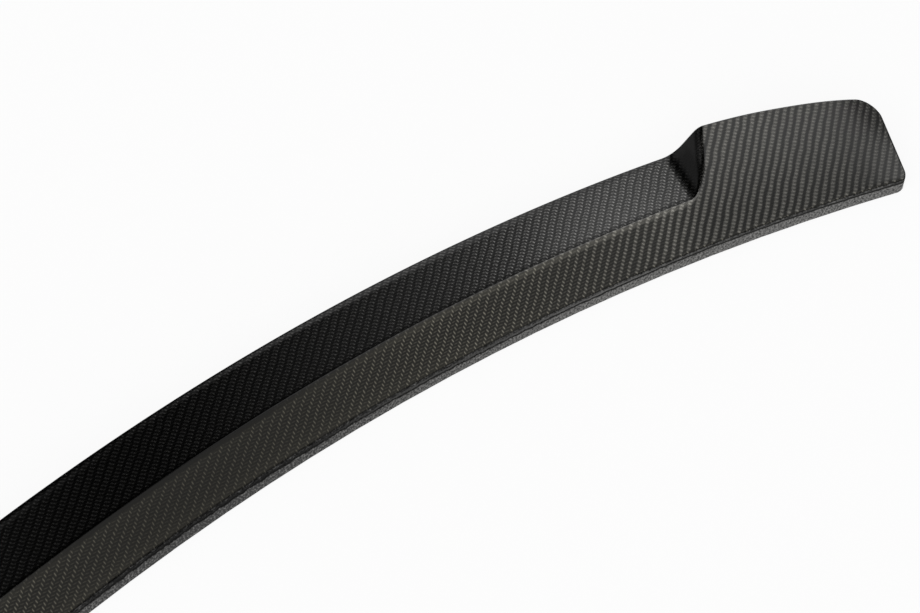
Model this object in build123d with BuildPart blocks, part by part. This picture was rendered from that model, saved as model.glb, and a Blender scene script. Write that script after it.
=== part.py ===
"""Car rear spoiler: one moulded carbon shell, open underneath, on two strips of bonding tape.

Millimetres, +X along the spoiler, +Y to the rear of the car, +Z up.
The origin is the middle of the front tape's bonding face.
"""
import os
from math import atan2, cos, hypot, radians, sin, tan

from build123d import *

# Plan: every section stands square to one arc, the line of the front edge's top corner.
plan_radius = 1588.0
half_arc = 585.0

# Where the band reaches its outer slope and where the recess ends, as shares of the half length.
step_share = 0.7
wall_share = 0.7385

# Front edge face: height and backward lean in degrees.
front_height = 9.8
front_lean = 16.0

# Slope of the front band, and of the raised ends that carry it on, in degrees.
mid_slope = 38.7
step_slope = 21.9
tip_slope = 18.5

# Depth of the base from the arc to its rear edge, and lean of the rear face in degrees.
base_mid = 63.2
base_step = 68.6
base_tip = 54.0
rear_lean = 19.6

# Recess between the raised ends: width of the band below it and slope of its floor.
band_mid = 35.4
band_gain = 0.95
mid_floor_slope = 2.8
floor_slope_gain = 2.0

# Rolled rim along the back of the recess floor.
roll_wide = 8.0
roll_radius = 20.0
roll_angle = 45.0

# End walls of the recess: slope in degrees and the radius at their foot.
wall_slope = 34.0
wall_blend = 36.0

# Edge rounds, and corners of the tips in plan.
recess_round = 6.0
rim_round = 1.0
tip_round = 0.8
tip_front = 10.0
tip_rear = 16.0

# Laminate, return flanges and the opening between them.
laminate = 2.5
flange = 16.0
tip_solid = 12.0
opening_round = 8.0

# Bonding tape.
tape_thick = 1.1
tape_wide = 10.0
tape_inset = 2.0
tape_end = 22.0

# Construction lengths that reach past the part, and the slack of the tip trimming outline.
reach = 120.0
rise = 120.0
under = 8.0
trim_front = 0.05
trim_rear = 0.15

# How near an edge's middle lies to a surface that carries it.
near = 0.6

step_arc = step_share * half_arc
wall_arc = wall_share * half_arc
cutter_arc = (1 + wall_share) / 2 * half_arc
corner_height = tape_thick + front_height
front_run = tan(radians(front_lean))
rear_run = tan(radians(rear_lean))
front_foot = -front_height * front_run
origin_depth = tape_inset + tape_wide / 2
spans = [-1.0, -0.86, -0.7, -0.45, -0.22, 0.0, 0.22, 0.45, 0.7, 0.86, 1.0]
recess_spans = [-1.0, -0.8, -0.5, -0.25, 0.0, 0.25, 0.5, 0.8, 1.0]


def station(arc):
    """Plane square to the plan arc: local x is the depth to the rear, local y is the height."""
    turn = arc / plan_radius
    depth = (sin(turn), cos(turn), 0)
    along = (cos(turn), -sin(turn), 0)
    spot = (plan_radius * sin(turn), plan_radius * (cos(turn) - 1) - origin_depth, 0)
    return Plane(origin=spot, x_dir=depth, z_dir=along)


def place(point):
    """Arc length, depth and height of a point, seen from the plan arc."""
    back = point.Y + origin_depth + plan_radius
    return plan_radius * atan2(point.X, back), hypot(point.X, back) - plan_radius, point.Z


def plan_point(arc, depth):
    """Plan position at an arc length and depth."""
    spot = station(arc).from_local_coords(Vector(depth, 0, 0))
    return (spot.X, spot.Y)


def blend(arc, middle, step, tip):
    """A size that runs from its middle value to the step and on to the tip, both as squares."""
    inner = min(abs(arc) / step_arc, 1.0) ** 2
    outer = max((abs(arc) - step_arc) / (half_arc - step_arc), 0.0) ** 2
    return middle + (step - middle) * inner + (tip - step) * outer


def slope(arc):
    return blend(arc, mid_slope, step_slope, tip_slope)


def base_depth(arc):
    return blend(arc, base_mid, base_step, base_tip)


def body_corners(arc, skin):
    """Corners of the full-height body at one station, each face moved inwards by skin."""
    climb = tan(radians(slope(arc)))
    front_in = front_foot + skin / cos(radians(front_lean))
    rear_in = base_depth(arc) - skin / cos(radians(rear_lean))
    band_in = corner_height - skin / cos(radians(slope(arc)))
    nose = (front_in + front_run * (band_in - tape_thick)) / (1 - front_run * climb)
    tail = (rear_in + rear_run * (band_in - tape_thick)) / (1 - rear_run * climb)
    return [
        (front_in - under * front_run, tape_thick - under),
        (nose, band_in + climb * nose),
        (tail, band_in + climb * tail),
        (rear_in - under * rear_run, tape_thick - under),
    ]


def body_section(arc, skin):
    """Face of the full-height body at one station."""
    with BuildSketch(station(arc)) as section:
        with BuildLine():
            Polyline(*body_corners(arc, skin), close=True)
        make_face()
    return section.sketch


def floor_line(arc, skin):
    """Fall of the recess floor at one station and its height at the arc, lowered by skin."""
    share = (arc / step_arc) ** 2
    pitch = radians(slope(arc))
    wide = band_mid + band_gain * share
    fall = tan(radians(mid_floor_slope + floor_slope_gain * share))
    return fall, corner_height + wide * sin(pitch) - fall * wide * cos(pitch) - skin


def floor_section(arc, skin):
    """Face of everything above the recess floor at one station, its rolled rim included."""
    fall, height = floor_line(arc, skin)
    rim_depth = (base_depth(arc) + rear_run * (height - tape_thick)) / (1 - rear_run * fall)
    roll_depth = rim_depth - roll_wide
    with BuildSketch(station(arc)) as section:
        with BuildLine():
            flat = Line((-under, height - fall * under), (roll_depth, height + fall * roll_depth))
            roll = JernArc(flat @ 1, flat % 1, roll_radius, -roll_angle)
            Polyline(roll @ 1, (reach, (roll @ 1).Y), (reach, rise), (-under, rise), flat @ 0)
        make_face()
    return section.sketch


def wall_plane(side, skin):
    """Plane of one end wall of the recess, facing down and towards the tip."""
    foot = station(side * wall_arc)
    fall, height = floor_line(wall_arc, 0.0)
    spot = foot.from_local_coords(Vector(base_step, height + fall * base_step, 0))
    ridge = (foot.x_dir + Vector(0, 0, fall)).normalized()
    uphill = side * cos(radians(wall_slope)) * foot.z_dir + Vector(0, 0, sin(radians(wall_slope)))
    facing = -side * uphill.cross(ridge)
    return Plane(origin=spot + skin * facing, x_dir=ridge, z_dir=facing)


def at_wall_foot(edge):
    arc, depth, height = place(edge @ 0.5)
    return abs(abs(arc) - wall_arc) < tape_wide


def recess(skin):
    """Solid that takes the recess out of a full-height body, let out by skin."""
    with BuildPart() as cutter:
        loft([floor_section(part_of_span * cutter_arc, skin) for part_of_span in recess_spans])
        for side in (1, -1):
            with Locations(wall_plane(side, skin)):
                Box(3 * reach, 3 * reach, 2 * reach, align=(Align.CENTER, Align.CENTER, Align.MIN),
                    mode=Mode.SUBTRACT)
        fillet(cutter.edges().filter_by(at_wall_foot), radius=wall_blend + skin)
    return cutter.part


def on_band(edge):
    arc, depth, height = place(edge @ 0.5)
    return depth > flange and abs(height - corner_height - depth * tan(radians(slope(arc)))) < near


def on_rear(edge):
    arc, depth, height = place(edge @ 0.5)
    return height > corner_height and abs(depth - base_depth(arc) - rear_run * (height - tape_thick)) < near


def on_rim(edge):
    return on_rear(edge) and abs(place(edge @ 0.5)[0]) < half_arc - near


def on_nose(edge):
    arc, depth, height = place(edge @ 0.5)
    return edge.length > half_arc and abs(depth) < near and abs(height - corner_height) < near


def on_tip(edge):
    arc, depth, height = place(edge @ 0.5)
    outside = abs(arc) > half_arc - 1.4 * tip_rear and height > tape_thick + front_height / 2
    return outside and abs(edge.tangent_at(0.5).Z) < 0.8


def long_strip(front_line, rear_line, end_arc):
    """Plan face between two depths that may vary along the arc, square at its ends."""
    spots = [part_of_span * end_arc for part_of_span in spans]
    with BuildSketch() as plan:
        with BuildLine():
            front = Spline([plan_point(arc, front_line(arc)) for arc in spots])
            rear = Spline([plan_point(arc, rear_line(arc)) for arc in spots])
            Line(front @ 0, rear @ 0)
            Line(front @ 1, rear @ 1)
        make_face()
    return plan.sketch


with BuildSketch() as tip_outline:
    add(long_strip(lambda arc: front_foot - trim_front, lambda arc: body_corners(arc, 0.0)[2][0] + trim_rear,
                   half_arc))
    fillet(tip_outline.vertices().sort_by(Axis.Y)[:2], radius=tip_front)
    fillet(tip_outline.vertices().group_by(Axis.X)[0] + tip_outline.vertices().group_by(Axis.X)[-1],
           radius=tip_rear)

with BuildSketch() as opening_outline:
    add(long_strip(lambda arc: front_foot + flange, lambda arc: base_depth(arc) - flange,
                   half_arc - tip_solid - flange))
    fillet(opening_outline.vertices(), radius=opening_round)

with BuildPart() as cavity:
    loft([body_section(part_of_span * (half_arc - tip_solid), laminate) for part_of_span in spans])
    add(recess(laminate), mode=Mode.SUBTRACT)
    with Locations((0, 0, tape_thick + laminate)):
        Box(3 * half_arc, 3 * half_arc, 3 * under, align=(Align.CENTER, Align.CENTER, Align.MAX),
            mode=Mode.SUBTRACT)

with BuildPart() as spoiler_shell:
    loft([body_section(part_of_span * half_arc, 0.0) for part_of_span in spans])
    with Locations((0, 0, tape_thick)):
        Box(3 * half_arc, 3 * half_arc, 3 * under, align=(Align.CENTER, Align.CENTER, Align.MAX),
            mode=Mode.SUBTRACT)
    add(recess(0.0), mode=Mode.SUBTRACT)
    lip = [edge for edge in spoiler_shell.edges(Select.LAST) if on_band(edge) and not on_rear(edge)]
    fillet(lip, radius=recess_round)
    outline = spoiler_shell.edges().filter_by(on_rim) + spoiler_shell.edges().filter_by(on_nose)
    fillet(outline, radius=rim_round)
    extrude(tip_outline.sketch, amount=rise, mode=Mode.INTERSECT)
    fillet(spoiler_shell.edges().filter_by(on_tip), radius=tip_round)
    add(cavity.part, mode=Mode.SUBTRACT)
    extrude(opening_outline.sketch, amount=tape_thick + 2 * laminate, mode=Mode.SUBTRACT)

with BuildPart() as front_tape:
    extrude(long_strip(lambda arc: tape_inset, lambda arc: tape_inset + tape_wide, half_arc - tape_end),
            amount=tape_thick)

with BuildPart() as rear_tape:
    extrude(long_strip(lambda arc: base_depth(arc) - tape_inset - tape_wide,
                       lambda arc: base_depth(arc) - tape_inset, half_arc - tape_end),
            amount=tape_thick)

spoiler_shell.part.label = "spoiler_shell"
front_tape.part.label = "front_tape"
rear_tape.part.label = "rear_tape"

os.makedirs("parts", exist_ok=True)
export_step(spoiler_shell.part, "parts/spoiler_shell.step")
export_step(front_tape.part, "parts/front_tape.step")
export_step(rear_tape.part, "parts/rear_tape.step")
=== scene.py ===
"""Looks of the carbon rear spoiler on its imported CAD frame: a smooth outer skin with a cloth map,
the shell's inner side, and the finish of both bonding tapes.

Objects are in metres, in the CAD's own frame. The shape functions work in millimetres: arc is the
length along the plan arc from the middle, depth runs to the rear from that arc, and height up
from the ground.
"""
import math

import bpy
import numpy as np
from mathutils import Matrix, Vector


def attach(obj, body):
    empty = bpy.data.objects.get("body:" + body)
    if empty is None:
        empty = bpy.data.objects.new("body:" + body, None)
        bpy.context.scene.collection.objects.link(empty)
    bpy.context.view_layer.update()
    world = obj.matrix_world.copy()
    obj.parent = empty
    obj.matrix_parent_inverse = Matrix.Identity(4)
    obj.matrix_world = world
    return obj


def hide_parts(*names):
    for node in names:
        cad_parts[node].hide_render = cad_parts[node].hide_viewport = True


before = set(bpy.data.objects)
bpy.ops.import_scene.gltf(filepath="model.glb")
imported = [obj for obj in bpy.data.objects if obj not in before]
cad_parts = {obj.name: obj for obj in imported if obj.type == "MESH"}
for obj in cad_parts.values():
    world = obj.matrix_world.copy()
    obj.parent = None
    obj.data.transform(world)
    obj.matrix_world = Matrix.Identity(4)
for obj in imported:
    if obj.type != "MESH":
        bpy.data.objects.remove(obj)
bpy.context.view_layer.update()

PER_METRE = 1000.0
TINY = 1e-12
QUARTER = 0.5 * math.pi

# The part's driving sizes, as in its CAD source.
PLAN_RADIUS = 1588.0
HALF_ARC = 585.0
STEP_ARC = 0.7 * HALF_ARC
WALL_ARC = 0.7385 * HALF_ARC
CUTTER_ARC = 0.5 * (HALF_ARC + WALL_ARC)
FRONT_HEIGHT = 9.8
FRONT_RUN = math.tan(math.radians(16.0))
REAR_LEAN = math.radians(19.6)
REAR_RUN = math.tan(REAR_LEAN)
ROLL_WIDE, ROLL_RADIUS = 8.0, 20.0
WALL_CLIMB = math.tan(math.radians(34.0))
WALL_BLEND = 36.0
RIM_ROUND, TIP_ROUND = 1.0, 0.8
TIP_FRONT, TIP_REAR = 10.0, 16.0
TAPE = 1.1
ORIGIN_DEPTH = 7.0
CORNER = TAPE + FRONT_HEIGHT
FRONT_FOOT = -FRONT_HEIGHT * FRONT_RUN

# Slope of the band in degrees and depth of the base: in the middle, at the step and at the tip.
SLOPES = (38.7, 21.9, 18.5)
BASES = (63.2, 68.6, 54.0)

# Width of the band and slope of the floor in degrees: in the middle, and the gain to the step.
BAND_MID, BAND_GAIN = 35.4, 0.95
FLOOR_MID, FLOOR_GAIN = 2.8, 2.0

# Where the sections of the body and of the recess stand, as shares of their half lengths.
BODY_SPANS = (0.0, 0.22, 0.45, 0.7, 0.86, 1.0)
RECESS_SPANS = (0.0, 0.25, 0.5, 0.8, 1.0)

# The skin's own sizes: rounds of the crest along the floor and at the end walls, extra climb
# before a tip, and how near to the skin the CAD's triangles are left out.
CREST_ROUND, WALL_CREST_ROUND = 5.0, 13.0
TIP_SWELL = 0.11
SKIN_GAP = 1.3

# A round between two surfaces is blended over this share of its radius times the square of the
# slope at which they part, and over LEAST_BLEND where they hardly part. The slope is taken over
# SLOPE_STEP.
ROUND_SHARE, LEAST_BLEND, SLOPE_STEP = 0.42, 0.02, 0.2
ROLL_LIMIT = 0.95 * ROLL_RADIUS

# Stations along the arc: long steps, short ones over the end wall, and counts round the tip's
# corner and edge, of which the first stays clear of the second.
LONG_STEP, SHORT_STEP = 4.0, 0.7
SHORT_FROM, SHORT_TO = 404.0, 470.0
TIP_COUNT, EDGE_COUNT, TIP_CLEAR = 15, 6, 0.1

# Columns of the skin's grid.
FACE_COUNT, ROUND_COUNT, BAND_COUNT, CREST_COUNT, FLOOR_COUNT, REAR_COUNT = 8, 8, 25, 17, 33, 9

# Half width of the crest's columns, the nearest that it comes to the front corner and to the rim,
# and where the front round starts and ends, as shares of its radius.
CREST_HALF, CREST_FRONT, CREST_REAR = 3.0, 6.0, 8.0
ROUND_BELOW, ROUND_BEHIND = 0.9, 1.3

# Steps of a search, the depth past the base at which the rim's search starts, and the run over
# which the rise at the rim is taken.
SEARCH_STEPS, RIM_START, RIM_PROBE = 40, 12.0, 0.5


def mirrored(half):
    """Values from 0 upwards, with their negatives before them."""
    return np.concatenate([-half[:0:-1], half])


def blended(arc, sizes):
    """A size along the arc: it changes as the square of the way to the step, then to the tip."""
    inner = np.minimum(np.abs(arc) / STEP_ARC, 1.0) ** 2
    outer = np.maximum((np.abs(arc) - STEP_ARC) / (HALF_ARC - STEP_ARC), 0.0) ** 2
    return sizes[0] + (sizes[1] - sizes[0]) * inner + (sizes[2] - sizes[1]) * outer


def smooth_through(knots, values):
    """Function of arc length: the natural cubic spline through a value at each knot."""
    gap = np.diff(knots)
    slope = np.diff(values) / gap
    count = len(knots)
    left = np.eye(count)
    right = np.zeros(count)
    for i in range(1, count - 1):
        left[i, i - 1:i + 2] = gap[i - 1], 2 * (gap[i - 1] + gap[i]), gap[i]
        right[i] = 6 * (slope[i] - slope[i - 1])
    bend = np.linalg.solve(left, right)

    def at(arc):
        k = np.clip(np.searchsorted(knots, arc) - 1, 0, count - 2)
        h, a, b = gap[k], knots[k + 1] - arc, arc - knots[k]
        curve = (bend[k] * a ** 3 + bend[k + 1] * b ** 3) / (6 * h)
        start = (values[k] / h - bend[k] * h / 6) * a
        end = (values[k + 1] / h - bend[k + 1] * h / 6) * b
        return curve + start + end

    return at


def floor_values(arc):
    """Fall of the recess floor, and its height carried on to the plan arc: the slope gains as the
    square of the way to the step, and the floor starts where the band reaches its width."""
    share = (arc / STEP_ARC) ** 2
    pitch = np.radians(blended(arc, SLOPES))
    wide = BAND_MID + BAND_GAIN * share
    fall = np.tan(np.radians(FLOOR_MID + FLOOR_GAIN * share))
    return fall, CORNER + wide * np.sin(pitch) - fall * wide * np.cos(pitch)


body_knots = mirrored(HALF_ARC * np.array(BODY_SPANS))
recess_knots = mirrored(CUTTER_ARC * np.array(RECESS_SPANS))
climb_at = smooth_through(body_knots, np.tan(np.radians(blended(body_knots, SLOPES))))
base_at = smooth_through(body_knots, blended(body_knots, BASES))
fall_at, height_at = (smooth_through(recess_knots, row) for row in floor_values(recess_knots))
wall_fall, wall_height = floor_values(WALL_ARC)


def band_height(arc, depth):
    """Height of the front band and the raised ends: straight up from the front corner at the
    band's slope, which swells a little before each tip, as the way past the last section but one,
    squared, times the way left to the tip."""
    past = np.clip((np.abs(arc) - body_knots[-2]) / (HALF_ARC - body_knots[-2]), 0.0, 1.0)
    return CORNER + depth * (climb_at(arc) + TIP_SWELL * past ** 2 * (1.0 - past))


def round_off(first, second, soft):
    """What a round adds to the larger of two heights, or takes off the smaller: the square of
    their overlap within the blend, over four times the blend."""
    overlap = np.maximum(soft - np.abs(first - second), 0.0)
    return overlap ** 2 / (4.0 * soft)


def recess_height(arc, depth):
    """Height of the recess: the sloped floor with its rear rolled down on an arc, and the end
    wall's plane, whichever is larger, with a round at the foot of the wall."""
    fall, height = fall_at(arc), height_at(arc)
    rim = (base_at(arc) + REAR_RUN * (height - TAPE)) / (1.0 - REAR_RUN * fall)
    past = np.clip(depth - rim + ROLL_WIDE, 0.0, ROLL_LIMIT)
    floor = height + fall * depth - ROLL_RADIUS + np.sqrt(ROLL_RADIUS ** 2 - past ** 2)
    turn = (np.abs(arc) - WALL_ARC) / PLAN_RADIUS
    beyond = (PLAN_RADIUS + depth) * np.sin(turn)
    back = (PLAN_RADIUS + depth) * np.cos(turn) - PLAN_RADIUS
    wall = wall_height + wall_fall * back + WALL_CLIMB * beyond
    soft = ROUND_SHARE * WALL_BLEND * WALL_CLIMB ** 2
    return np.maximum(wall, floor) + round_off(wall, floor, soft)


def band_over_recess(arc, depth):
    """Height of the band less that of the recess."""
    return band_height(arc, depth) - recess_height(arc, depth)


def top_height(arc, depth):
    """Height of the whole upper side: the smaller of band and recess, rounded along the crest
    where they cross. The radius goes from the floor's to the end wall's with the direction in
    which they part."""
    band, bowl = band_height(arc, depth), recess_height(arc, depth)
    lean_in = (band_over_recess(arc, depth + SLOPE_STEP) - (band - bowl)) / SLOPE_STEP
    lean_along = (band_over_recess(arc + SLOPE_STEP, depth) - (band - bowl)) / SLOPE_STEP
    parting = lean_in ** 2 + lean_along ** 2
    share = lean_along ** 2 / np.maximum(parting, TINY)
    radius = CREST_ROUND + (WALL_CREST_ROUND - CREST_ROUND) * share
    soft = np.maximum(ROUND_SHARE * radius * parting, LEAST_BLEND)
    return np.minimum(band, bowl) - round_off(band, bowl, soft)


def to_space(arc, depth, height):
    """Points in metres in the CAD frame: depth adds to the plan radius, and arc turns round it."""
    turn = arc / PLAN_RADIUS
    x = (PLAN_RADIUS + depth) * np.sin(turn)
    y = (PLAN_RADIUS + depth) * np.cos(turn) - PLAN_RADIUS - ORIGIN_DEPTH
    return np.stack([x, y, height], axis=-1) / PER_METRE


def from_space(points):
    """Turn round the plan arc in radians, and depth, of points in millimetres in that frame."""
    back = points[:, 1] + ORIGIN_DEPTH + PLAN_RADIUS
    return np.arctan2(points[:, 0], back), np.hypot(points[:, 0], back) - PLAN_RADIUS


def round_stations(radius, count):
    """Stations round a quarter circle up to the tip: its radius times the sine of even angles."""
    return HALF_ARC - radius + radius * np.sin(np.linspace(0.0, QUARTER, count))


def arc_stations():
    """Stations from the middle to one tip, closer in the end wall and at the tip, and mirrored."""
    corner = round_stations(TIP_REAR, TIP_COUNT)[1:-1]
    parts = [
        np.arange(0.0, SHORT_FROM, LONG_STEP),
        np.arange(SHORT_FROM, SHORT_TO, SHORT_STEP),
        np.arange(SHORT_TO, HALF_ARC - TIP_REAR, LONG_STEP),
        corner[corner < HALF_ARC - TIP_ROUND - TIP_CLEAR],
        round_stations(TIP_ROUND, EDGE_COUNT),
    ]
    return mirrored(np.unique(np.concatenate(parts)))


def corner_pull(arc, radius):
    """How far a rounded plan corner of this radius has drawn in the outline: the radius less the
    height of its circle there."""
    past = np.clip(np.abs(arc) - HALF_ARC + radius, 0.0, radius)
    return radius - np.sqrt(radius ** 2 - past ** 2)


def rim_depth(arc):
    """Depth of the rear rim: where the leaning rear face meets the upper side, found by repeated
    steps, and drawn in round the tip's corner."""
    rim = base_at(arc) + RIM_START
    for _ in range(SEARCH_STEPS):
        rim = base_at(arc) + REAR_RUN * (top_height(arc, rim) - TAPE)
    return rim - corner_pull(arc, TIP_REAR)


def crest_depth(arc, rim):
    """Depth of the crest where band and recess cross, found by halving the span between them."""
    low, high = np.full_like(arc, CREST_FRONT), rim
    for _ in range(SEARCH_STEPS):
        middle = 0.5 * (low + high)
        before = band_over_recess(arc, middle) < 0.0
        low, high = np.where(before, middle, low), np.where(before, high, middle)
    return np.minimum(0.5 * (low + high), rim - CREST_REAR)


def even(count):
    """One row of even shares from 0 to 1."""
    return np.linspace(0.0, 1.0, count)[None, :]


def round_between(first, pull, last, weight):
    """Columns of a round from first to last, drawn towards pull: the rational curve of the second
    degree, which is a circle's arc where the weight is the sine of half the corner's angle."""
    way = even(ROUND_COUNT)[:, 1:-1]
    start, middle, end = (1.0 - way) ** 2, 2.0 * way * (1.0 - way) * weight, way ** 2
    return (start * first + middle * pull + end * last) / (start + middle + end)


def skin_grid():
    """Outer skin as a grid: rows are stations along the arc, columns run from the foot of the
    front face over its round, up the band, over the crest, across the floor, round the rim and
    down the rear face. Returns arc, depth and height, the crest's depth, and the column at which
    each part ends."""
    arc = arc_stations()[:, None]
    drop = corner_pull(arc, TIP_ROUND)
    rim = rim_depth(arc)
    crest = crest_depth(arc, rim)
    rise = np.arctan((top_height(arc, rim) - top_height(arc, rim - RIM_PROBE)) / RIM_PROBE)
    half_corner = 0.5 * (QUARTER - rise - REAR_LEAN)
    reach = RIM_ROUND / np.tan(half_corner)

    front_trim = FRONT_FOOT + corner_pull(arc, TIP_FRONT)
    front_top = np.maximum(front_trim, 0.0)
    corner_height = band_height(arc, front_top) - drop
    face_top = corner_height - ROUND_BELOW * RIM_ROUND
    face_height = TAPE + (face_top - TAPE) * even(FACE_COUNT)
    face_depth = np.maximum(FRONT_FOOT + FRONT_RUN * (face_height - TAPE), front_trim)

    nose = front_top + ROUND_BEHIND * RIM_ROUND
    tail = rim - reach * np.cos(rise)
    band_part = nose + (crest - CREST_HALF - nose) * even(BAND_COUNT)
    crest_part = crest + CREST_HALF * (2.0 * even(CREST_COUNT)[:, 1:-1] - 1.0)
    floor_part = crest + CREST_HALF + (tail - crest - CREST_HALF) * even(FLOOR_COUNT)
    top_depth = np.concatenate([band_part, crest_part, floor_part], axis=1)
    top = top_height(arc + 0.0 * top_depth, top_depth) - drop

    rim_height = top_height(arc, rim) - drop
    rear_top = rim_height - reach * math.cos(REAR_LEAN)
    rear_height = rear_top + (TAPE - rear_top) * even(REAR_COUNT)
    rear_depth = np.minimum(base_at(arc) + REAR_RUN * (rear_height - TAPE), rim)

    bow = np.sin(half_corner)
    depths = [
        face_depth,
        round_between(face_depth[:, -1:], front_top, top_depth[:, :1], 1.0),
        top_depth,
        round_between(top_depth[:, -1:], rim, rear_depth[:, :1], bow),
        rear_depth,
    ]
    heights = [
        face_height,
        round_between(face_height[:, -1:], corner_height, top[:, :1], 1.0),
        top,
        round_between(top[:, -1:], rim_height, rear_height[:, :1], bow),
        rear_height,
    ]
    depth, height = np.concatenate(depths, axis=1), np.concatenate(heights, axis=1)
    ends = np.cumsum([part.shape[1] for part in depths])
    return arc + 0.0 * depth, depth, height, crest, ends


# Width of a tow, direction in which the cloth was laid, where the rear face's foot lies on the
# flat cloth, and the distance given to places that are far from any edge.
TOW = 2.0
CLOTH_TURN = math.radians(-6.7)
REAR_LAID, FAR_EDGE = 120.0, 50.0


def cloth_map(arc, depth, height, rear_start):
    """Place of each grid point on the flat cloth, in tows, and its length from the front corner.
    Lengths across the section are measured along the surface from the front corner, and up the
    rear face from its foot. They are laid out round the plan arc, and turned to the direction of
    the cloth."""
    steps = np.hypot(np.diff(depth), np.diff(height))
    laid = np.cumsum(np.pad(steps, ((0, 0), (1, 0))), axis=1) - FRONT_HEIGHT
    rear = height[:, rear_start:] - TAPE
    laid[:, rear_start:] = REAR_LAID - rear * math.hypot(1.0, REAR_RUN)
    turn = arc / PLAN_RADIUS
    x = (PLAN_RADIUS + laid) * np.sin(turn)
    y = (PLAN_RADIUS + laid) * np.cos(turn) - PLAN_RADIUS
    u = x * math.cos(CLOTH_TURN) + y * math.sin(CLOTH_TURN)
    v = -x * math.sin(CLOTH_TURN) + y * math.cos(CLOTH_TURN)
    return np.stack([u, v], axis=-1) / TOW, laid


def grid_faces(rows, columns):
    """Quads of a grid of vertices, wound so that the skin faces outwards."""
    index = np.arange(rows * columns).reshape(rows, columns)
    quads = np.stack([index[:-1, :-1], index[1:, :-1], index[1:, 1:], index[:-1, 1:]], axis=-1)
    return quads.reshape(-1, 4)


def add_piece(name, points, faces):
    """Smooth-shaded mesh object at the origin, from arrays of points in metres and of faces."""
    mesh = bpy.data.meshes.new(name)
    mesh.from_pydata(points.tolist(), [], faces.tolist())
    mesh.polygons.foreach_set("use_smooth", np.full(len(mesh.polygons), True))
    mesh.update()
    piece = bpy.data.objects.new(name, mesh)
    bpy.context.collection.objects.link(piece)
    return piece


def vertex_rows(vectors, key):
    """Three numbers for each vertex, as rows."""
    rows = np.zeros(len(vectors) * 3)
    vectors.foreach_get(key, rows)
    return rows.reshape(-1, 3)


def loop_vertices(mesh):
    """The vertex at each corner of each face."""
    corners = np.zeros(len(mesh.loops), dtype=np.int32)
    mesh.loops.foreach_get("vertex_index", corners)
    return corners


def set_uv(mesh, uv):
    """Gives each vertex its own place in a UV map named cloth."""
    layer = mesh.uv_layers.new(name="cloth")
    layer.data.foreach_set("uv", uv[loop_vertices(mesh)].astype(np.float32).ravel())


def set_value(mesh, name, value):
    """Gives each vertex a number in an attribute of this name."""
    layer = mesh.attributes.new(name, "FLOAT", "POINT")
    layer.data.foreach_set("value", value.astype(np.float32))


def ramp(value, low, high):
    """Smooth step from 0 at low to 1 at high."""
    share = np.clip((value - low) / (high - low), 0.0, 1.0)
    return share * share * (3.0 - 2.0 * share)


def sheen(distance, strength, place, wide):
    """Painted sheen: an even grey that is strongest at a place and dies away with the
    distance from it.
    """
    return strength * np.exp(-np.abs(distance - place) / wide)


# The cloth's glints by the surface's lean to the front, painted highlights in the fibre's colour:
# floor, raised ends, then the band from its flat ends to its steep middle. Slant, width and depth
# of the gaps shape a painted glint, share is what the second set of tows gets of it, gain its
# strength and warm its colour.
LEANS = (0.12, 0.30, 0.35, 0.38, 0.46, 0.566, 0.63, 0.75)
GLINTS = {
    "slant": (-0.03, 0.15, 0.27, 0.00, -0.40, -0.60, -0.60, -0.60),
    "wide": (0.73, 0.75, 0.75, 0.94, 1.05, 1.10, 1.10, 1.10),
    "deep": (0.59, 0.42, 0.32, 0.40, 0.60, 0.80, 0.80, 0.80),
    "share": (0.56, 0.25, 0.02, 0.42, 0.55, 0.60, 0.60, 0.60),
    "gain": (0.185, 0.19, 0.19, 0.53, 0.56, 0.59, 0.17, 0.17),
    "warm": (0.00, 0.10, 0.20, 0.25, 0.40, 0.60, 0.75, 0.00),
}

# The point values above that the twill takes in.
GLINT_SHAPES = ("slant", "wide", "deep", "share")

# The painted light from the middle to the ends, by arc length: painted grey of the front face,
# share of the painted highlight between the dark lines at the front corner, share of the painted
# highlight on the crest, and how far the lower dark line is lifted.
ALONG = (0.0, 70.0, 160.0, 250.0, 340.0, 420.0)
PAINTED_ALONG = {
    "face_light": (0.01, 0.055, 0.095, 0.14, 0.175, 0.175),
    "corner_highlight": (0.0, 0.0, 0.5, 0.55, 1.0, 1.0),
    "lit": (0.0, 0.0, 0.25, 0.6, 1.0, 1.0),
    "lift": (1.2, 0.6, 0.3, -0.2, 0.4, 1.4),
}

# Side lean over which floor turns to end wall, and front lean over which band turns to face.
WALL_LEANS, FACE_LEANS = (0.10, 0.40), (0.75, 0.9)

# Painted sheen, an even grey, at the front corner and before the crest: strength, place and
# width. The first dies away over NOSE_FADES of the arc. The strips along the crest narrow over
# CREST_FADES, before the end walls, down to a least share of their width.
NOSE_SHEEN, CREST_SHEEN = (0.035, 2.5, 5.0), (0.025, -1.0, 4.0)
NOSE_FADES = (200.0, 400.0)
CREST_FADES, CREST_LEAST = (WALL_ARC - 20.0, WALL_ARC + 10.0), 0.02


def set_leans(mesh):
    """Point values from the surface's tilt: the painted glints' values by its lean to the front,
    calm which is 1 on the end walls, and face which is 1 on the front face."""
    normals = vertex_rows(mesh.vertex_normals, "vector")
    turn, _ = from_space(vertex_rows(mesh.vertices, "co") * PER_METRE)
    lean = -normals[:, 0] * np.sin(turn) - normals[:, 1] * np.cos(turn)
    side = np.abs(normals[:, 0] * np.cos(turn) - normals[:, 1] * np.sin(turn))
    for name, values in GLINTS.items():
        set_value(mesh, name, np.interp(lean, LEANS, values))
    set_value(mesh, "calm", ramp(side, *WALL_LEANS))
    set_value(mesh, "face", ramp(lean, *FACE_LEANS))


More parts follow.
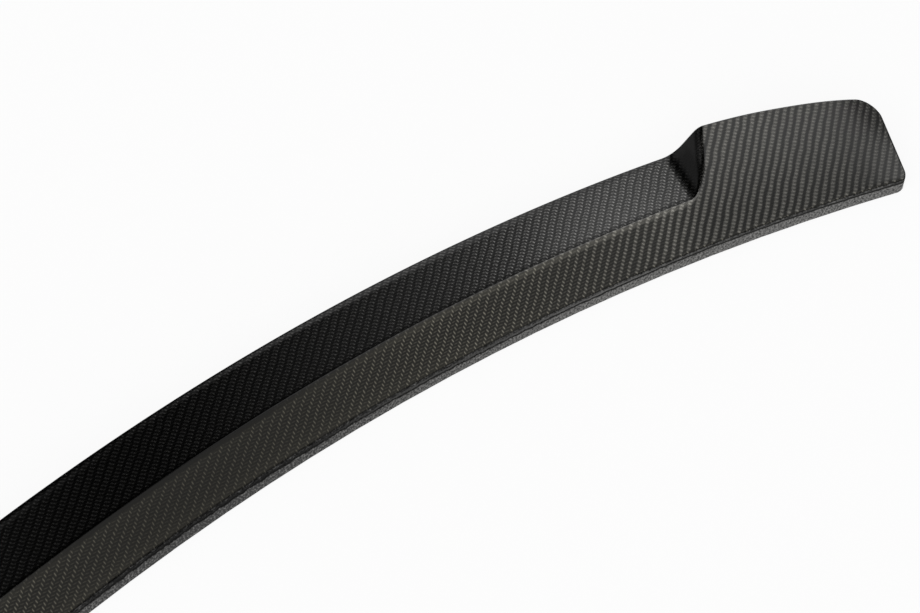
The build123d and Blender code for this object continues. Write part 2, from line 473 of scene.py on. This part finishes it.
def end_cap(arc, depth, height, uv, flip):
    """Flat end of the shell: one row of points along its upper edge, and the same row let down to
    the foot. Its cloth hangs straight down from the edge."""
    count = len(depth)
    foot = np.full(count, TAPE)
    points = np.concatenate([to_space(arc, depth, height), to_space(arc, depth, foot)])
    down = np.stack([np.zeros(count), (height - foot) / TOW], axis=-1)
    index = np.arange(count - 1)
    quads = np.stack([index, index + 1, index + count + 1, index + count], axis=-1)
    return points, quads if flip else quads[:, ::-1], np.concatenate([uv, uv - down])


def skin_values(arc, depth, edge, crest_at, rim_columns):
    """Values on the skin's grid. Edge is the distance from the front corner over the surface, and
    crest that from the crest in depth, over the share that is left of its strips' width. Sheen is
    a little even grey near both, a painted sheen. Rim is 1 round the rear rim, where the cloth's
    grey is evened out. The painted light of the front face, the corner and the crest follows the
    arc length."""
    away = np.abs(arc)
    narrow = np.maximum(1.0 - ramp(away, *CREST_FADES), CREST_LEAST)
    crest = (depth - crest_at) / narrow
    nose_sheen = sheen(edge, *NOSE_SHEEN) * (1.0 - ramp(away, *NOSE_FADES))
    crest_sheen = sheen(crest, *CREST_SHEEN) * (crest < 0.0)
    rim = np.zeros_like(arc)
    rim[:, rim_columns] = 1.0
    values = {"edge": edge, "crest": crest, "sheen": nose_sheen + crest_sheen, "rim": rim}
    for name, steps in PAINTED_ALONG.items():
        values[name] = np.interp(away, ALONG, steps)
    return values


def make_skin():
    """Outer skin: the grid and a flat cap at each end, with its cloth map and point values."""
    arc, depth, height, crest_at, (face_end, _, rim_start, rear_start, _) = skin_grid()
    rows, columns = arc.shape
    uv, edge = cloth_map(arc, depth, height, rear_start)
    values = skin_values(arc, depth, edge, crest_at, slice(rim_start, rear_start + 1))
    points = [to_space(arc, depth, height).reshape(-1, 3)]
    faces = [grid_faces(rows, columns)]
    uvs = [uv.reshape(-1, 2)]
    start = rows * columns
    top = slice(face_end - 1, rear_start + 1)
    for row, flip in ((0, False), (rows - 1, True)):
        edge_row = (arc[row, top], depth[row, top], height[row, top], uv[row, top])
        cap, quads, cap_uv = end_cap(*edge_row, flip)
        points.append(cap)
        faces.append(quads + start)
        uvs.append(cap_uv)
        start += len(cap)
    piece = add_piece("shell_skin", np.concatenate(points), np.concatenate(faces))
    set_uv(piece.data, np.concatenate(uvs))
    set_leans(piece.data)
    on_caps = {"edge": FAR_EDGE, "crest": FAR_EDGE}
    for name, value in values.items():
        tail = np.full(start - rows * columns, on_caps.get(name, 0.0))
        set_value(piece.data, name, np.concatenate([value.reshape(-1), tail]))
    return piece


# Digits to which the CAD's points are merged, downward normal and height above the foot of its
# flat underside, and the angle past which its edges stay sharp.
MERGE_DIGITS, UNDER_NORMAL, UNDER_HEIGHT = 7, -0.9, 0.05
SHARP_EDGE = math.radians(25.0)


def make_inside():
    """Underside and hollow: the CAD shell's triangles, merged, without those on the skin."""
    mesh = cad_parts["spoiler_shell"].data
    points = vertex_rows(mesh.vertices, "co")
    _, first, merged = np.unique(np.round(points, MERGE_DIGITS), axis=0, return_index=True,
                                 return_inverse=True)
    points = points[first]
    faces = merged.reshape(-1)[loop_vertices(mesh)].reshape(-1, 3)
    corners = points[faces]
    normals = np.cross(corners[:, 1] - corners[:, 0], corners[:, 2] - corners[:, 0])
    normals /= np.maximum(np.linalg.norm(normals, axis=1, keepdims=True), TINY)
    middle = corners.mean(axis=1) * PER_METRE
    turn, depth = from_space(middle)
    arc, height = PLAN_RADIUS * turn, middle[:, 2]
    front = FRONT_FOOT + np.maximum(FRONT_RUN * (height - TAPE), corner_pull(arc, TIP_FRONT))
    rear = np.minimum(base_at(arc) + REAR_RUN * (height - TAPE), rim_depth(arc))
    inside = height < top_height(arc, depth) - SKIN_GAP
    inside &= (depth > front + SKIN_GAP) & (depth < rear - SKIN_GAP)
    inside &= np.abs(arc) < HALF_ARC - SKIN_GAP
    below = (normals[:, 2] < UNDER_NORMAL) & (height < TAPE + UNDER_HEIGHT)
    used, index = np.unique(faces[inside | below], return_inverse=True)
    piece = add_piece("shell_inside", points[used], index.reshape(-1, 3))
    piece.data.set_sharp_from_angle(angle=SHARP_EDGE)
    return piece


def feed(tree, socket, value):
    """Links an output socket to an input socket, or sets a plain value on it."""
    if isinstance(value, bpy.types.NodeSocket):
        tree.links.new(value, socket)
    else:
        socket.default_value = value


def add_node(tree, kind, inputs=None, **settings):
    """Adds a shader node with its settings, and feeds its inputs by name or number."""
    node = tree.nodes.new("ShaderNode" + kind)
    for name, setting in settings.items():
        setattr(node, name, setting)
    for key, value in (inputs or {}).items():
        feed(tree, node.inputs[key], value)
    return node


def math_node(tree, operation, *values):
    """Adds a Math node; each value is a number or an output socket."""
    return add_node(tree, "Math", dict(enumerate(values)), operation=operation).outputs[0]


def plus(tree, first, second):
    """Sum of two values."""
    return math_node(tree, "ADD", first, second)


def minus(tree, first, second):
    """First value less the second."""
    return math_node(tree, "SUBTRACT", first, second)


def times(tree, first, second):
    """Product of two values."""
    return math_node(tree, "MULTIPLY", first, second)


def scaled(tree, value, gain, offset):
    """Value times the gain, plus the offset."""
    return math_node(tree, "MULTIPLY_ADD", value, gain, offset)


def larger(tree, first, second):
    """The larger of two values."""
    return math_node(tree, "MAXIMUM", first, second)


def wrapped(tree, value, period):
    """What is left of a value past whole periods."""
    return math_node(tree, "FLOORED_MODULO", value, period)


# Numbers of a Mix node's first and second input and of its output, for each kind of value.
MIX_SOCKETS = {"FLOAT": (2, 3, 0), "VECTOR": (4, 5, 1), "RGBA": (6, 7, 2)}


def mix_node(tree, kind, factor, first, second):
    """Adds a Mix node of one of these kinds: first where the factor is 0, second where it is 1."""
    first_at, second_at, out_at = MIX_SOCKETS[kind]
    inputs = {0: factor, first_at: first, second_at: second}
    return add_node(tree, "Mix", inputs, data_type=kind).outputs[out_at]


def fall_off(tree, value, full, none):
    """Smooth step down: 1 up to full, and 0 from none on."""
    inputs = {"Value": value, "From Min": full, "From Max": none, "To Min": 1.0, "To Max": 0.0}
    return add_node(tree, "MapRange", inputs, interpolation_type="SMOOTHSTEP").outputs["Result"]


def noise_node(tree, place, scale, detail):
    """Soft noise from 0 to 1."""
    inputs = {"Vector": place, "Scale": scale, "Detail": detail}
    return add_node(tree, "TexNoise", inputs).outputs["Fac"]


def bump_node(tree, height, strength, distance):
    """Normal bent by a height; distance is in metres."""
    inputs = {"Height": height, "Strength": strength, "Distance": distance}
    return add_node(tree, "Bump", inputs).outputs["Normal"]


def point_value(tree, name):
    """The piece's own point value of this name."""
    return add_node(tree, "Attribute", attribute_name=name).outputs["Fac"]


def new_group(name, vectors, floats, outputs):
    """Starts a shader node group with named vector inputs, float inputs and float outputs."""
    tree = bpy.data.node_groups.new(name, "ShaderNodeTree")
    for socket in vectors:
        tree.interface.new_socket(socket, in_out="INPUT", socket_type="NodeSocketVector")
    for socket in floats:
        tree.interface.new_socket(socket, in_out="INPUT", socket_type="NodeSocketFloat")
    for socket in outputs:
        tree.interface.new_socket(socket, in_out="OUTPUT", socket_type="NodeSocketFloat")
    start, end = tree.nodes.new("NodeGroupInput"), tree.nodes.new("NodeGroupOutput")
    return tree, start.outputs, end.inputs


def group_node(tree, group, inputs):
    """Places a node group and returns its outputs."""
    return add_node(tree, "Group", inputs, node_tree=group).outputs


def new_material(name):
    """A material, its node tree and its shader."""
    material = bpy.data.materials.new(name)
    material.use_nodes = True
    return material, material.node_tree, material.node_tree.nodes["Principled BSDF"]


# Two-over-two twill, counted in tows: its repeat, and the length of a float.
REPEAT, FLOAT_LENGTH = 4.0, 2.0
HALF_TOW = 0.5

# How hand-laid cloth wanders, narrowness of a float's bell, slant of the lengthwise floats'
# glints, contrast of the glints, and size of the fibres' streaks along and across a tow.
CLOTH_WANDER, CLOTH_DETAIL = 0.15, 1.0
FLOAT_BELL, OTHER_SLANT, GLINT_POWER = 5.0, 0.8, 2.5
STREAK_ALONG, STREAK_ACROSS, STREAK_DETAIL = 0.12, 5.0, 2.0


def bell(tree, offset, narrowness):
    """Bell curve: e to the power of minus narrowness times the offset squared."""
    return math_node(tree, "EXPONENT", times(tree, times(tree, offset, offset), -narrowness))


def float_row(tree, u, v, shift, slant, wide, deep):
    """Glints of one set of floats: a flat-topped bell across the diagonal rib that they make,
    times a bell along it for each float, which leaves gaps as dark as deep. Slant is 1 for glints
    that lie along u, -1 along v and 0 square to the rib."""
    off = wrapped(tree, plus(tree, minus(tree, u, v), shift - HALF_TOW), REPEAT)
    off = minus(tree, off, 0.5 * REPEAT)
    on = minus(tree, plus(tree, u, v), times(tree, slant, off))
    on = wrapped(tree, plus(tree, on, 0.5 * shift + HALF_TOW), FLOAT_LENGTH)
    on = minus(tree, on, 0.5 * FLOAT_LENGTH)
    across = times(tree, off, wide)
    across = bell(tree, times(tree, across, across), 1.0)
    gap = times(tree, minus(tree, 1.0, bell(tree, on, FLOAT_BELL)), deep)
    return times(tree, across, minus(tree, 1.0, gap))


def pair(tree, first, second):
    """Vector of two values."""
    return add_node(tree, "CombineXYZ", {0: first, 1: second}).outputs[0]


def twill_group():
    """Two-over-two twill on coordinates counted in tows, which wander a little as hand-laid cloth
    does. Lengthwise is 1 where a tow that runs along u is on top. Crown is a tow's height,
    highest in the middle of its float. Glint is a painted highlight, the light that the floats'
    backs would catch, full on the rearward ones and a Share of it on the lengthwise ones; Slant,
    Wide and Deep shape it. Fibre is a fine streak along the tow, and Tow a value for each tow."""
    tree, start, end = new_group("twill", ["Cloth"], ["Slant", "Wide", "Deep", "Share"],
                                 ["Lengthwise", "Crown", "Glint", "Fibre", "Tow"])
    cloth = start["Cloth"]
    inputs = {"Vector": cloth, "Scale": CLOTH_WANDER, "Detail": CLOTH_DETAIL}
    wander = add_node(tree, "TexNoise", inputs).outputs["Color"]
    inputs = {0: wander, 1: (1.0, 1.0, 0.0), 2: cloth}
    pushed = add_node(tree, "VectorMath", inputs, operation="MULTIPLY_ADD").outputs[0]
    u, v, _ = add_node(tree, "SeparateXYZ", {0: pushed}).outputs
    i, j = math_node(tree, "FLOOR", u), math_node(tree, "FLOOR", v)
    step = wrapped(tree, minus(tree, i, j), REPEAT)
    lengthwise = math_node(tree, "LESS_THAN", step, FLOAT_LENGTH - HALF_TOW)

    along_u = wrapped(tree, minus(tree, u, j), REPEAT)
    along_v = wrapped(tree, minus(tree, minus(tree, v, i), 1.0), REPEAT)
    along = minus(tree, mix_node(tree, "FLOAT", lengthwise, along_v, along_u), 0.5 * FLOAT_LENGTH)
    part_u, part_v = math_node(tree, "FRACT", u), math_node(tree, "FRACT", v)
    across = scaled(tree, mix_node(tree, "FLOAT", lengthwise, part_u, part_v), 2.0, -1.0)
    dive = minus(tree, 1.0, times(tree, along, along))
    crown = times(tree, dive, minus(tree, 1.0, times(tree, across, across)))

    wide, deep = start["Wide"], start["Deep"]
    rearward = float_row(tree, u, v, 0.0, start["Slant"], wide, deep)
    other = float_row(tree, u, v, FLOAT_LENGTH, OTHER_SLANT, wide, deep)
    glint = plus(tree, rearward, times(tree, other, start["Share"]))

    streak_u = pair(tree, times(tree, u, STREAK_ALONG), times(tree, v, STREAK_ACROSS))
    streak_v = pair(tree, times(tree, u, STREAK_ACROSS), times(tree, v, STREAK_ALONG))
    streak = mix_node(tree, "VECTOR", lengthwise, streak_v, streak_u)
    number_u, number_v = minus(tree, -HALF_TOW, j), plus(tree, i, HALF_TOW)
    number = mix_node(tree, "FLOAT", lengthwise, number_v, number_u)
    chance = add_node(tree, "TexWhiteNoise", {"W": number}, noise_dimensions="1D")

    feed(tree, end["Lengthwise"], lengthwise)
    feed(tree, end["Crown"], crown)
    feed(tree, end["Glint"], math_node(tree, "POWER", glint, GLINT_POWER))
    feed(tree, end["Fibre"], noise_node(tree, streak, 1.0, STREAK_DETAIL))
    feed(tree, end["Tow"], chance.outputs["Value"])
    return tree


def line_group():
    """Mask of a thin line: 1 where Value lies between From and To, with soft sides."""
    tree, start, end = new_group("thin_line", [], ["Value", "From", "To", "Soft"], ["Mask"])
    middle = times(tree, plus(tree, start["From"], start["To"]), 0.5)
    half = minus(tree, start["To"], middle)
    off = math_node(tree, "ABSOLUTE", minus(tree, start["Value"], middle))
    full, none = minus(tree, half, start["Soft"]), plus(tree, half, start["Soft"])
    feed(tree, end["Mask"], fall_off(tree, off, full, none))
    return tree


def strip_mask(tree, thin_line, value, strip):
    """Mask of the strip where a value lies between two limits, with soft sides."""
    low, high, soft = strip
    inputs = {"Value": value, "From": low, "To": high, "Soft": soft}
    return group_node(tree, thin_line, inputs)["Mask"]


# Strips along the crest and the front corner: from, to and softness, in millimetres from them.
SHADED_CREST_STRIP, RIDGE_STRIP, VALLEY_STRIP = (-2.6, 1.6, 0.8), (-3.4, -0.1, 0.9), (0.4, 3.0, 0.8)
UPPER_LINE, CORNER_HIGHLIGHT_STRIP, LOWER_LINE = (-1.2, 0.4, 0.35), (-2.7, -1.0, 0.4), (-4.2, -2.6, 0.4)

# Strength of a painted glint: the least, and what fibre and tow add. Painted highlight on the
# crest: the least, and what a glint adds.
GLINT_LEAST, FIBRE_GAIN, TOW_GAIN = 0.45, 0.9, 0.25
RIDGE_LEAST, RIDGE_GAIN = 0.13, 0.20

# Painted grey of the front face: its share over the print, and size, detail and strength of
# its specks.
FACE_LIGHT_SHARE, SPECK_SCALE, SPECK_DETAIL, SPECK_GAIN = 0.9, 1.3, 2.0, 1.1

# Even grey on the end walls, where the painted glints are left off, and grey and share of the
# grey that evens out the cloth round the rear rim.
WALL_GREY, RIM_GREY, RIM_SHARE = 0.02, 0.05, 0.6

# Dark lines at the front corner, painted shade where the coat is dulled too: how they wander in
# millimetres and how much the painted highlight calms that, how the upper one breaks up, how
# dark the lower one, the strip between them and the painted shade in the crest's valley are, and
# the painted highlight's grey.
LINE_DETAIL = 2.0
LINE_SCALE, LINE_WANDER, HIGHLIGHT_CALM = 0.35, 4.0, 0.6
BREAK_SCALE, BREAK_GAIN, BREAK_LEAST, BREAK_MOST, HIGHLIGHT_BREAK = 0.5, 2.0, -0.1, 0.9, 0.3
LOWER_DARK, BETWEEN_DARK, VALLEY_SHADE = 0.95, 0.85, 0.45
CORNER_HIGHLIGHT_SHARE, CORNER_HIGHLIGHT_GREY = 0.8, 0.14

# Clear coat, what a dark line takes off it and, as painted shade, off the colour below, colours
# of dark and light fibre, cold and warm, and height of a tow's crown in metres. The tint keeps
# the fibre dark at low angles.
COAT_FULL, COAT_LOSS, COLOUR_LOSS = 0.8, 0.68, 0.9
DARK_COLD, DARK_WARM = (0.010, 0.010, 0.010, 1.0), (0.014, 0.0125, 0.008, 1.0)
LIGHT_COLD, LIGHT_WARM = (0.600, 0.592, 0.570, 1.0), (0.625, 0.572, 0.390, 1.0)
BLACK = (0.0, 0.0, 0.0, 1.0)
CROWN_HEIGHT = 0.00003
CARBON_VALUES = {
    "Metallic": 1.0,
    "Specular Tint": (0.35, 0.35, 0.35, 1.0),
    "Roughness": 0.20,
    "Coat Roughness": 0.06,
    "Coat IOR": 1.5,
}


def cloth_grey(tree, cloth, weave):
    """Share of light grey over the cloth: its painted glints, and the painted highlight that its
    crest would show. A glint is uneven along its fibres and from tow to tow, and painted sheen is
    added. On the front face the glints give way to a speckled painted grey, lighter towards the
    ends; they give way to an even dark grey on the end walls and are evened out round the rear rim."""
    streak = scaled(tree, weave["Fibre"], FIBRE_GAIN, GLINT_LEAST)
    streak = scaled(tree, weave["Tow"], TOW_GAIN, streak)
    catch = times(tree, weave["Glint"], streak)
    glow = scaled(tree, catch, RIDGE_GAIN, RIDGE_LEAST)
    catch = times(tree, catch, point_value(tree, "gain"))
    catch = plus(tree, catch, point_value(tree, "sheen"))
    # Painted light on the front face: a grey from the arc table, with specks.
    specks = noise_node(tree, cloth, SPECK_SCALE, SPECK_DETAIL)
    specks = scaled(tree, specks, SPECK_GAIN, -0.5 * SPECK_GAIN)
    face_light = plus(tree, point_value(tree, "face_light"), specks)
    face = times(tree, point_value(tree, "face"), FACE_LIGHT_SHARE)
    catch = mix_node(tree, "FLOAT", face, catch, face_light)
    catch = mix_node(tree, "FLOAT", point_value(tree, "calm"), catch, WALL_GREY)
    rim = times(tree, point_value(tree, "rim"), RIM_SHARE)
    return mix_node(tree, "FLOAT", rim, catch, RIM_GREY), glow


def crest_grey(tree, thin_line, crest, catch, glow):
    """The same share along the crest: in the middle of the part the painted glints are left off a
    strip along it, a painted shade, and towards the ends a painted highlight lies on the crest."""
    lit = point_value(tree, "lit")
    plain = strip_mask(tree, thin_line, crest, SHADED_CREST_STRIP)
    plain = times(tree, plain, minus(tree, 1.0, lit))
    ridge = times(tree, strip_mask(tree, thin_line, crest, RIDGE_STRIP), lit)
    catch = mix_node(tree, "FLOAT", plain, catch, 0.0)
    return plus(tree, catch, times(tree, ridge, glow))


def corner_grey(tree, thin_line, cloth, catch):
    """The same share with the painted highlight at the front corner, and a mask of the dark lines
    beside it, painted shade: an upper line that breaks up, a lower one, and the strip between
    where there is no painted highlight."""
    corner_highlight = point_value(tree, "corner_highlight")
    wander = noise_node(tree, cloth, LINE_SCALE, LINE_DETAIL)
    wander = scaled(tree, wander, LINE_WANDER, -0.5 * LINE_WANDER)
    wander = times(tree, wander, scaled(tree, corner_highlight, -HIGHLIGHT_CALM, 1.0))
    edge = plus(tree, point_value(tree, "edge"), wander)
    breaks = noise_node(tree, cloth, BREAK_SCALE, LINE_DETAIL)
    breaks = scaled(tree, breaks, BREAK_GAIN, BREAK_LEAST)
    breaks = minus(tree, breaks, times(tree, corner_highlight, HIGHLIGHT_BREAK))
    breaks = math_node(tree, "MINIMUM", breaks, BREAK_MOST)
    upper = times(tree, strip_mask(tree, thin_line, edge, UPPER_LINE), breaks)
    lifted = minus(tree, edge, point_value(tree, "lift"))
    lower = times(tree, strip_mask(tree, thin_line, lifted, LOWER_LINE), LOWER_DARK)
    between = strip_mask(tree, thin_line, edge, CORNER_HIGHLIGHT_STRIP)
    # Painted highlight between the dark lines.
    corner_highlight_grey = times(tree, corner_highlight, CORNER_HIGHLIGHT_GREY)
    catch = mix_node(tree, "FLOAT", times(tree, between, CORNER_HIGHLIGHT_SHARE), catch, corner_highlight_grey)
    between = times(tree, between, scaled(tree, corner_highlight, -BETWEEN_DARK, BETWEEN_DARK))
    return catch, larger(tree, larger(tree, upper, lower), between)


def carbon_material(twill, thin_line):
    """Clear-coated carbon twill: dark tows of metal-grey fibre with painted glints, under a smooth
    coat. Dark lines of painted shade, where the coat is dulled too, follow the front corner and
    the floor's side of the crest."""
    material, tree, shader = new_material("carbon_gloss")
    cloth = add_node(tree, "UVMap", uv_map="cloth").outputs["UV"]
    shapes = {name.title(): point_value(tree, name) for name in GLINT_SHAPES}
    weave = group_node(tree, twill, {"Cloth": cloth, **shapes})
    crest = point_value(tree, "crest")
    catch, glow = cloth_grey(tree, cloth, weave)
    catch = crest_grey(tree, thin_line, crest, catch, glow)
    catch, dull = corner_grey(tree, thin_line, cloth, catch)
    # Painted shade on the floor's side of the crest.
    valley = times(tree, strip_mask(tree, thin_line, crest, VALLEY_STRIP), VALLEY_SHADE)
    dull = larger(tree, dull, valley)

    warm = point_value(tree, "warm")
    dark = mix_node(tree, "RGBA", warm, DARK_COLD, DARK_WARM)
    light = mix_node(tree, "RGBA", warm, LIGHT_COLD, LIGHT_WARM)
    colour = mix_node(tree, "RGBA", catch, dark, light)
    colour = mix_node(tree, "RGBA", times(tree, dull, COLOUR_LOSS), colour, BLACK)
    feed(tree, shader.inputs["Base Color"], colour)
    feed(tree, shader.inputs["Coat Weight"], scaled(tree, dull, -COAT_LOSS, COAT_FULL))
    feed(tree, shader.inputs["Normal"], bump_node(tree, weave["Crown"], 1.0, CROWN_HEIGHT))
    for name, value in CARBON_VALUES.items():
        shader.inputs[name].default_value = value
    return material


# Bag side of the laminate: colours of the two sets of tows, size and detail of the resin's
# unevenness, its least roughness and what the unevenness adds, and share of the tows, strength
# and height in bump.
INSIDE_DARK, INSIDE_LIGHT = (0.010, 0.010, 0.010, 1.0), (0.026, 0.026, 0.025, 1.0)
RESIN_SCALE, RESIN_DETAIL = 60.0, 4.0
RESIN_ROUGH, RESIN_GAIN = 0.38, 0.4
PRINT_SHARE, INSIDE_BUMP, INSIDE_HEIGHT = 0.5, 0.7, 0.0004


def inside_material(twill):
    """Bag side of the laminate: dull black resin, unevenly rough, with the cloth's print."""
    material, tree, shader = new_material("carbon_inside")
    place = add_node(tree, "TexCoord").outputs["Object"]
    tows = add_node(tree, "VectorMath", {0: place, "Scale": PER_METRE / TOW}, operation="SCALE")
    weave = group_node(tree, twill, {"Cloth": tows.outputs[0]})
    resin = noise_node(tree, place, RESIN_SCALE, RESIN_DETAIL)
    colour = mix_node(tree, "RGBA", weave["Lengthwise"], INSIDE_DARK, INSIDE_LIGHT)
    height = scaled(tree, weave["Crown"], PRINT_SHARE, resin)
    feed(tree, shader.inputs["Base Color"], colour)
    feed(tree, shader.inputs["Roughness"], scaled(tree, resin, RESIN_GAIN, RESIN_ROUGH))
    feed(tree, shader.inputs["Normal"], bump_node(tree, height, INSIDE_BUMP, INSIDE_HEIGHT))
    return material


# Tape: height of the liner's film in metres, colours, size and detail of the foam's cells and of
# the film's crinkles, roughness of both, and strength and height of the crinkles in bump.
LINER_HEIGHT = 0.00012
FOAM_DARK, FOAM_LIGHT = (0.03, 0.03, 0.032, 1.0), (0.09, 0.09, 0.092, 1.0)
FILM_DARK, FILM_LIGHT = (0.50, 0.015, 0.020, 1.0), (0.66, 0.035, 0.040, 1.0)
CELL_SCALE, CELL_DETAIL, CRINKLE_SCALE, CRINKLE_DETAIL = 2500.0, 2.0, 90.0, 3.0
FOAM_ROUGH, FILM_ROUGH = 0.85, 0.28
CRINKLE_BUMP, CRINKLE_HEIGHT = 0.25, 0.0004


def tape_material():
    """Dark grey foam with a thin red liner on its lower face."""
    material, tree, shader = new_material("bonding_tape")
    place = add_node(tree, "TexCoord").outputs["Object"]
    height = add_node(tree, "SeparateXYZ", {0: place}).outputs[2]
    liner = math_node(tree, "LESS_THAN", height, LINER_HEIGHT)
    cells = noise_node(tree, place, CELL_SCALE, CELL_DETAIL)
    crinkle = noise_node(tree, place, CRINKLE_SCALE, CRINKLE_DETAIL)
    foam = mix_node(tree, "RGBA", cells, FOAM_DARK, FOAM_LIGHT)
    film = mix_node(tree, "RGBA", crinkle, FILM_DARK, FILM_LIGHT)
    rough = mix_node(tree, "FLOAT", liner, FOAM_ROUGH, FILM_ROUGH)
    feed(tree, shader.inputs["Base Color"], mix_node(tree, "RGBA", liner, foam, film))
    feed(tree, shader.inputs["Roughness"], rough)
    feed(tree, shader.inputs["Normal"], bump_node(tree, crinkle, CRINKLE_BUMP, CRINKLE_HEIGHT))
    return material


# Ground: half its side and its height in metres, its shader's values, and share of its own white.
GROUND_HALF, GROUND_HEIGHT = 9.0, -0.0001
GROUND_VALUES = {
    "Base Color": (0.95, 0.95, 0.95, 1.0),
    "Roughness": 0.85,
    "Specular IOR Level": 0.1,
}
OWN_WHITE = 0.89
WHITE = (1.0, 1.0, 1.0, 1.0)


def mix_shader(tree, factor, first, second):
    """First shader where the factor is 0, second where it is 1."""
    return add_node(tree, "MixShader", {0: factor, 1: first, 2: second}).outputs[0]


def pale_material():
    """White ground that keeps the part's shadow: seen or mirrored, most of its white is its own.
    It is clear from below."""
    material, tree, shader = new_material("pale_ground")
    for name, value in GROUND_VALUES.items():
        shader.inputs[name].default_value = value
    rays = add_node(tree, "LightPath").outputs
    seen = larger(tree, rays["Is Camera Ray"], rays["Is Glossy Ray"])
    seen = larger(tree, seen, rays["Is Transmission Ray"])
    glow = add_node(tree, "Emission", {"Color": WHITE, "Strength": 1.0}).outputs[0]
    above = mix_shader(tree, times(tree, seen, OWN_WHITE), shader.outputs[0], glow)
    below = add_node(tree, "NewGeometry").outputs["Backfacing"]
    clear = add_node(tree, "BsdfTransparent").outputs[0]
    surface = mix_shader(tree, below, above, clear)
    feed(tree, tree.nodes["Material Output"].inputs["Surface"], surface)
    return material


def panel_group():
    """Soft patch of light in the sky: full inside the core angle round its direction, and none
    past its edge."""
    tree, start, end = new_group("soft_panel", ["Way", "Toward"], ["Edge", "Core", "Strength"],
                                 ["Light"])
    facing = add_node(tree, "VectorMath", {0: start["Way"], 1: start["Toward"]},
                      operation="DOT_PRODUCT").outputs["Value"]
    angle = math_node(tree, "ARCCOSINE", facing)
    patch = fall_off(tree, angle, start["Core"], start["Edge"])
    feed(tree, end["Light"], times(tree, patch, start["Strength"]))
    return tree


# Soft panels round the studio: direction, core angle and edge angle in degrees, and strength.
PANELS = {
    "right_core": ((0.650, 0.238, 0.722), 8.3, 14.9, 1.95),
    "right_haze": ((0.503, 0.317, 0.804), 3.0, 18.4, 0.22),
    "overhead": ((0.369, -0.063, 0.927), 7.3, 10.0, 0.94),
    "overhead_right": ((0.523, -0.046, 0.851), 6.0, 11.4, 0.30),
    "front_fill": ((0.314, -0.491, 0.813), 15.2, 25.8, 0.45),
    "left_high": ((-0.62, -0.27, 0.74), 26.0, 43.0, 2.05),
    "front_left": ((-0.32, -0.87, 0.37), 16.0, 36.0, 1.30),
    "rear_left": ((-0.62, 0.70, 0.36), 14.0, 40.0, 0.40),
    "rear_high": ((-0.10, 0.60, 0.79), 6.0, 20.0, 0.26),
    "rear_right": ((0.572, 0.613, 0.545), 12.0, 24.0, 0.6),
    "pale_room": ((0.0, 0.0, -1.0), 97.0, 106.0, 0.95),
}
DIM_ROOM = 0.01


def studio_world():
    """Dim room with the soft panels added to it."""
    world = bpy.data.worlds.new("studio")
    world.use_nodes = True
    tree = world.node_tree
    way = add_node(tree, "TexCoord").outputs["Generated"]
    panel = panel_group()
    total = DIM_ROOM
    for name, (toward, core, edge, strength) in PANELS.items():
        inputs = {
            "Way": way,
            "Toward": Vector(toward).normalized(),
            "Core": math.radians(core),
            "Edge": math.radians(edge),
            "Strength": strength,
        }
        patch = add_node(tree, "Group", inputs, node_tree=panel, name=name)
        total = plus(tree, total, patch.outputs["Light"])
    background = tree.nodes["Background"]
    feed(tree, background.inputs["Color"], WHITE)
    feed(tree, background.inputs["Strength"], total)
    return world


# Camera: sensor and lens in millimetres, its axes in the CAD frame, and its place in metres.
SENSOR, LENS = 36.0, 79.2
CAMERA_RIGHT = (0.76469, -0.64416, -0.01780)
CAMERA_UP = (0.52373, 0.60515, 0.59958)
CAMERA_BACK = (-0.37545, -0.46781, 0.80012)
CAMERA_PLACE = (-0.3010, -0.6623, 1.1677)


def make_camera():
    """Camera at the studio's main view."""
    data = bpy.data.cameras.new("camera")
    data.sensor_fit = "HORIZONTAL"
    data.sensor_width = SENSOR
    data.lens = LENS
    camera = bpy.data.objects.new("camera", data)
    bpy.context.collection.objects.link(camera)
    turn = Matrix((CAMERA_RIGHT, CAMERA_UP, CAMERA_BACK)).transposed()
    camera.matrix_world = Matrix.Translation(CAMERA_PLACE) @ turn.to_4x4()
    return camera


def make_ground():
    """Square of ground just below the tapes, facing up."""
    corners = np.array([(-1.0, -1.0, 0.0), (1.0, -1.0, 0.0), (1.0, 1.0, 0.0), (-1.0, 1.0, 0.0)])
    points = GROUND_HALF * corners + (0.0, 0.0, GROUND_HEIGHT)
    return add_piece("ground", points, np.array([(0, 1, 2, 3)]))


twill = twill_group()
carbon = carbon_material(twill, line_group())

skin = make_skin()
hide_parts("spoiler_shell")
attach(skin, "root")
skin.data.materials.append(carbon)

inside = make_inside()
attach(inside, "root")
inside.data.materials.append(inside_material(twill))

tape = tape_material()
for strip in ("front_tape", "rear_tape"):
    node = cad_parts[strip]
    node.data.materials.clear()
    node.data.materials.append(tape)

ground = make_ground()
ground.data.materials.append(pale_material())

bpy.context.scene.camera = make_camera()
bpy.context.scene.world = studio_world()
bpy.context.scene.view_settings.view_transform = "Standard"
